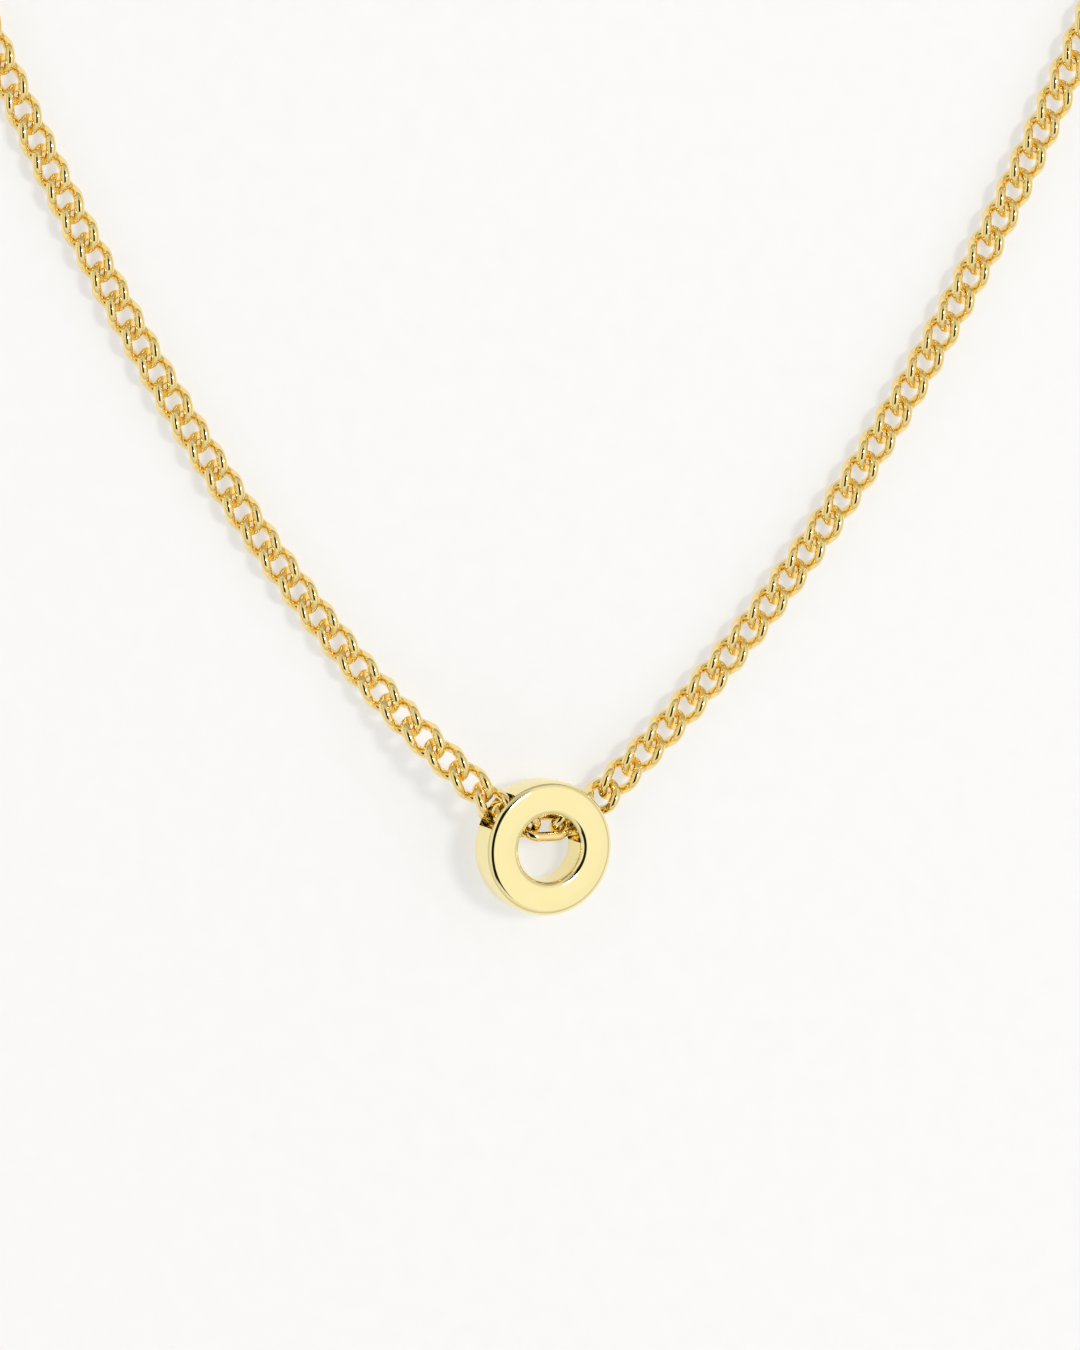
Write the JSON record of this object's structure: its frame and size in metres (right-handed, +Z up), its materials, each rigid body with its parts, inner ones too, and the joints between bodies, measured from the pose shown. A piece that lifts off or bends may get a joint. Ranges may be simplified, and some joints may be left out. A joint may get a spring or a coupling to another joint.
{
  "type": "chain necklace",
  "caption": "Polished gold curb-link neck chain with a thick ring pendant threaded on it, a lobster clasp and a short extender.",
  "frame": {"origin": "on the table the necklace lies on, straight below the centre of the ring pendant", "axes": "+Z up from the table, +Y from the pendant up between the two arms of the chain, +X to the right-hand arm"},
  "size_m": [0.1412, 0.2289, 0.0039],
  "materials": {
    "chain_gold": "polished",
    "pendant_gold": "high polish",
    "clasp_gold": "polished",
    "spring_steel": "drawn wire"
  },
  "bodies": {
    "chain_middle": {"centre_links": "chain_gold"},
    "pendant": {"pendant_ring": "pendant_gold"},
    "left_run_01": {"left_run_01": "chain_gold"},
    "left_run_02": {"left_run_02": "chain_gold"},
    "left_run_03": {"left_run_03": "chain_gold"},
    "left_run_04": {"left_run_04": "chain_gold"},
    "left_run_05": {"left_run_05": "chain_gold"},
    "left_run_06": {"left_run_06": "chain_gold"},
    "left_run_07": {"left_run_07": "chain_gold"},
    "left_run_08": {"left_run_08": "chain_gold"},
    "left_run_09": {"left_run_09": "chain_gold"},
    "left_run_10": {"left_run_10": "chain_gold"},
    "left_run_11": {"left_run_11": "chain_gold"},
    "left_run_12": {"left_run_12": "chain_gold"},
    "left_run_13": {"left_run_13": "chain_gold"},
    "left_run_14": {"left_run_14": "chain_gold"},
    "left_run_15": {"left_run_15": "chain_gold"},
    "clasp_ring": {"clasp_jump_ring": "clasp_gold"},
    "clasp": {"clasp_body": "clasp_gold", "clasp_rivet": "clasp_gold", "clasp_spring": "spring_steel"},
    "lever": {"clasp_lever": "clasp_gold"},
    "right_run_01": {"right_run_01": "chain_gold"},
    "right_run_02": {"right_run_02": "chain_gold"},
    "right_run_03": {"right_run_03": "chain_gold"},
    "right_run_04": {"right_run_04": "chain_gold"},
    "right_run_05": {"right_run_05": "chain_gold"},
    "right_run_06": {"right_run_06": "chain_gold"},
    "right_run_07": {"right_run_07": "chain_gold"},
    "right_run_08": {"right_run_08": "chain_gold"},
    "right_run_09": {"right_run_09": "chain_gold"},
    "right_run_10": {"right_run_10": "chain_gold"},
    "right_run_11": {"right_run_11": "chain_gold"},
    "right_run_12": {"right_run_12": "chain_gold"},
    "right_run_13": {"right_run_13": "chain_gold"},
    "right_run_14": {"right_run_14": "chain_gold"},
    "right_run_15": {"right_run_15": "chain_gold"},
    "extender_ring": {"extender_jump_ring": "chain_gold"},
    "extender_run_1": {"extender_run_1": "chain_gold"},
    "extender_run_2": {"extender_run_2": "chain_gold"},
    "extender_run_3": {"extender_run_3": "chain_gold"},
    "extender_run_4": {"extender_run_4": "chain_gold"},
    "ball": {"end_ball": "chain_gold"}
  },
  "joints": [
    {"name": "pendant_slide", "type": "hinge", "parent": "chain_middle", "child": "pendant", "pos_m": [0.0001, 0.00564, 0.0023], "axis": [0.2413, -0.0698, 0.9679], "range_deg": [-6, 6]},
    {"name": "left_run_01_turn", "type": "hinge", "parent": "chain_middle", "child": "left_run_01", "pos_m": [-0.00365, 0.00309, 0.00305], "axis": [0, 0, 1], "range_deg": [-15, 15]},
    {"name": "left_run_02_lift", "type": "hinge", "parent": "left_run_01", "child": "left_run_02", "pos_m": [-0.01186, 0.01207, 0.00078], "axis": [0.7919, 0.6107, 0], "range_deg": [-15, 15]},
    {"name": "left_run_03_turn", "type": "hinge", "parent": "left_run_02", "child": "left_run_03", "pos_m": [-0.019, 0.02236, 0.00078], "axis": [0, 0, -1], "range_deg": [-15, 15]},
    {"name": "left_run_04_lift", "type": "hinge", "parent": "left_run_03", "child": "left_run_04", "pos_m": [-0.0251, 0.0333, 0.00078], "axis": [-0.8941, -0.4478, 0], "range_deg": [-15, 15]},
    {"name": "left_run_05_turn", "type": "hinge", "parent": "left_run_04", "child": "left_run_05", "pos_m": [-0.0304, 0.04465, 0.00078], "axis": [0, 0, 1], "range_deg": [-15, 15]},
    {"name": "left_run_06_lift", "type": "hinge", "parent": "left_run_05", "child": "left_run_06", "pos_m": [-0.03507, 0.05628, 0.00078], "axis": [0.9376, 0.3477, 0], "range_deg": [-15, 15]},
    {"name": "left_run_07_turn", "type": "hinge", "parent": "left_run_06", "child": "left_run_07", "pos_m": [-0.03922, 0.0681, 0.00078], "axis": [0, 0, -1], "range_deg": [-15, 15]},
    {"name": "left_run_08_lift", "type": "hinge", "parent": "left_run_07", "child": "left_run_08", "pos_m": [-0.04297, 0.08005, 0.00078], "axis": [-0.9593, -0.2824, 0], "range_deg": [-15, 15]},
    {"name": "left_run_09_turn", "type": "hinge", "parent": "left_run_08", "child": "left_run_09", "pos_m": [-0.04637, 0.09211, 0.00078], "axis": [0, 0, 1], "range_deg": [-15, 15]},
    {"name": "left_run_10_lift", "type": "hinge", "parent": "left_run_09", "child": "left_run_10", "pos_m": [-0.04948, 0.10425, 0.00078], "axis": [0.9715, 0.2371, 0], "range_deg": [-15, 15]},
    {"name": "left_run_11_turn", "type": "hinge", "parent": "left_run_10", "child": "left_run_11", "pos_m": [-0.05236, 0.11645, 0.00078], "axis": [0, 0, -1], "range_deg": [-15, 15]},
    {"name": "left_run_12_lift", "type": "hinge", "parent": "left_run_11", "child": "left_run_12", "pos_m": [-0.05502, 0.12869, 0.00078], "axis": [-0.9789, -0.2041, 0], "range_deg": [-15, 15]},
    {"name": "left_run_13_turn", "type": "hinge", "parent": "left_run_12", "child": "left_run_13", "pos_m": [-0.05751, 0.14097, 0.00078], "axis": [0, 0, 1], "range_deg": [-15, 15]},
    {"name": "left_run_14_lift", "type": "hinge", "parent": "left_run_13", "child": "left_run_14", "pos_m": [-0.05983, 0.15328, 0.00078], "axis": [0.9839, 0.1789, 0], "range_deg": [-15, 15]},
    {"name": "left_run_15_turn", "type": "hinge", "parent": "left_run_14", "child": "left_run_15", "pos_m": [-0.06202, 0.16562, 0.00078], "axis": [0, 0, -1], "range_deg": [-15, 15]},
    {"name": "clasp_ring_turn", "type": "hinge", "parent": "left_run_15", "child": "clasp_ring", "pos_m": [-0.06408, 0.17797, 0.00115], "axis": [0, 0, 1], "range_deg": [-12, 12]},
    {"name": "clasp_swing", "type": "hinge", "parent": "clasp_ring", "child": "clasp", "pos_m": [-0.0643, 0.17936, 0.00115], "axis": [0, 0, 1], "range_deg": [-12, 12]},
    {"name": "lever_press", "type": "hinge", "parent": "clasp", "child": "lever", "pos_m": [-0.06557, 0.1841, 0.00091], "axis": [0, 0, -1], "range_deg": [0, 25], "stiffness_Nm_per_rad": 0.0006, "springref_deg": -11.46},
    {"name": "right_run_01_turn", "type": "hinge", "parent": "chain_middle", "child": "right_run_01", "pos_m": [0.00375, 0.00309, 0.0012], "axis": [0, 0, 1], "range_deg": [-15, 15]},
    {"name": "right_run_02_lift", "type": "hinge", "parent": "right_run_01", "child": "right_run_02", "pos_m": [0.0122, 0.01232, 0.00078], "axis": [0.7919, -0.6107, 0], "range_deg": [-15, 15]},
    {"name": "right_run_03_turn", "type": "hinge", "parent": "right_run_02", "child": "right_run_03", "pos_m": [0.01934, 0.02261, 0.00078], "axis": [0, 0, -1], "range_deg": [-15, 15]},
    {"name": "right_run_04_lift", "type": "hinge", "parent": "right_run_03", "child": "right_run_04", "pos_m": [0.02544, 0.03355, 0.00078], "axis": [-0.8941, 0.4478, 0], "range_deg": [-15, 15]},
    {"name": "right_run_05_turn", "type": "hinge", "parent": "right_run_04", "child": "right_run_05", "pos_m": [0.03074, 0.0449, 0.00078], "axis": [0, 0, 1], "range_deg": [-15, 15]},
    {"name": "right_run_06_lift", "type": "hinge", "parent": "right_run_05", "child": "right_run_06", "pos_m": [0.0354, 0.05653, 0.00078], "axis": [0.9376, -0.3477, 0], "range_deg": [-15, 15]},
    {"name": "right_run_07_turn", "type": "hinge", "parent": "right_run_06", "child": "right_run_07", "pos_m": [0.03956, 0.06835, 0.00078], "axis": [0, 0, -1], "range_deg": [-15, 15]},
    {"name": "right_run_08_lift", "type": "hinge", "parent": "right_run_07", "child": "right_run_08", "pos_m": [0.0433, 0.0803, 0.00078], "axis": [-0.9593, 0.2824, 0], "range_deg": [-15, 15]},
    {"name": "right_run_09_turn", "type": "hinge", "parent": "right_run_08", "child": "right_run_09", "pos_m": [0.0467, 0.09236, 0.00078], "axis": [0, 0, 1], "range_deg": [-15, 15]},
    {"name": "right_run_10_lift", "type": "hinge", "parent": "right_run_09", "child": "right_run_10", "pos_m": [0.04982, 0.1045, 0.00078], "axis": [0.9715, -0.2371, 0], "range_deg": [-15, 15]},
    {"name": "right_run_11_turn", "type": "hinge", "parent": "right_run_10", "child": "right_run_11", "pos_m": [0.05269, 0.11669, 0.00078], "axis": [0, 0, -1], "range_deg": [-15, 15]},
    {"name": "right_run_12_lift", "type": "hinge", "parent": "right_run_11", "child": "right_run_12", "pos_m": [0.05536, 0.12894, 0.00078], "axis": [-0.9789, 0.2041, 0], "range_deg": [-15, 15]},
    {"name": "right_run_13_turn", "type": "hinge", "parent": "right_run_12", "child": "right_run_13", "pos_m": [0.05784, 0.14122, 0.00078], "axis": [0, 0, 1], "range_deg": [-15, 15]},
    {"name": "right_run_14_lift", "type": "hinge", "parent": "right_run_13", "child": "right_run_14", "pos_m": [0.06017, 0.15353, 0.00078], "axis": [0.9838, -0.179, 0], "range_deg": [-15, 15]},
    {"name": "right_run_15_turn", "type": "hinge", "parent": "right_run_14", "child": "right_run_15", "pos_m": [0.06235, 0.16587, 0.00078], "axis": [0, 0, -1], "range_deg": [-15, 15]},
    {"name": "extender_ring_turn", "type": "hinge", "parent": "right_run_15", "child": "extender_ring", "pos_m": [0.06441, 0.17822, 0.00115], "axis": [0, 0, -1], "range_deg": [-12, 12]},
    {"name": "extender_run_1_turn", "type": "hinge", "parent": "extender_ring", "child": "extender_run_1", "pos_m": [0.06462, 0.17949, 0.00098], "axis": [0, 0, 1], "range_deg": [-15, 15]},
    {"name": "extender_run_2_lift", "type": "hinge", "parent": "extender_run_1", "child": "extender_run_2", "pos_m": [0.06629, 0.18975, 0.00098], "axis": [0.987, -0.1606, 0], "range_deg": [-15, 15]},
    {"name": "extender_run_3_turn", "type": "hinge", "parent": "extender_run_2", "child": "extender_run_3", "pos_m": [0.06796, 0.20002, 0.00098], "axis": [0, 0, -1], "range_deg": [-15, 15]},
    {"name": "extender_run_4_lift", "type": "hinge", "parent": "extender_run_3", "child": "extender_run_4", "pos_m": [0.06963, 0.21028, 0.00098], "axis": [-0.987, 0.1606, 0], "range_deg": [-15, 15]},
    {"name": "end_ball_turn", "type": "hinge", "parent": "extender_run_4", "child": "ball", "pos_m": [0.0713, 0.22055, 0.00098], "axis": [0, 0, -1], "range_deg": [-15, 15]}
  ]
}
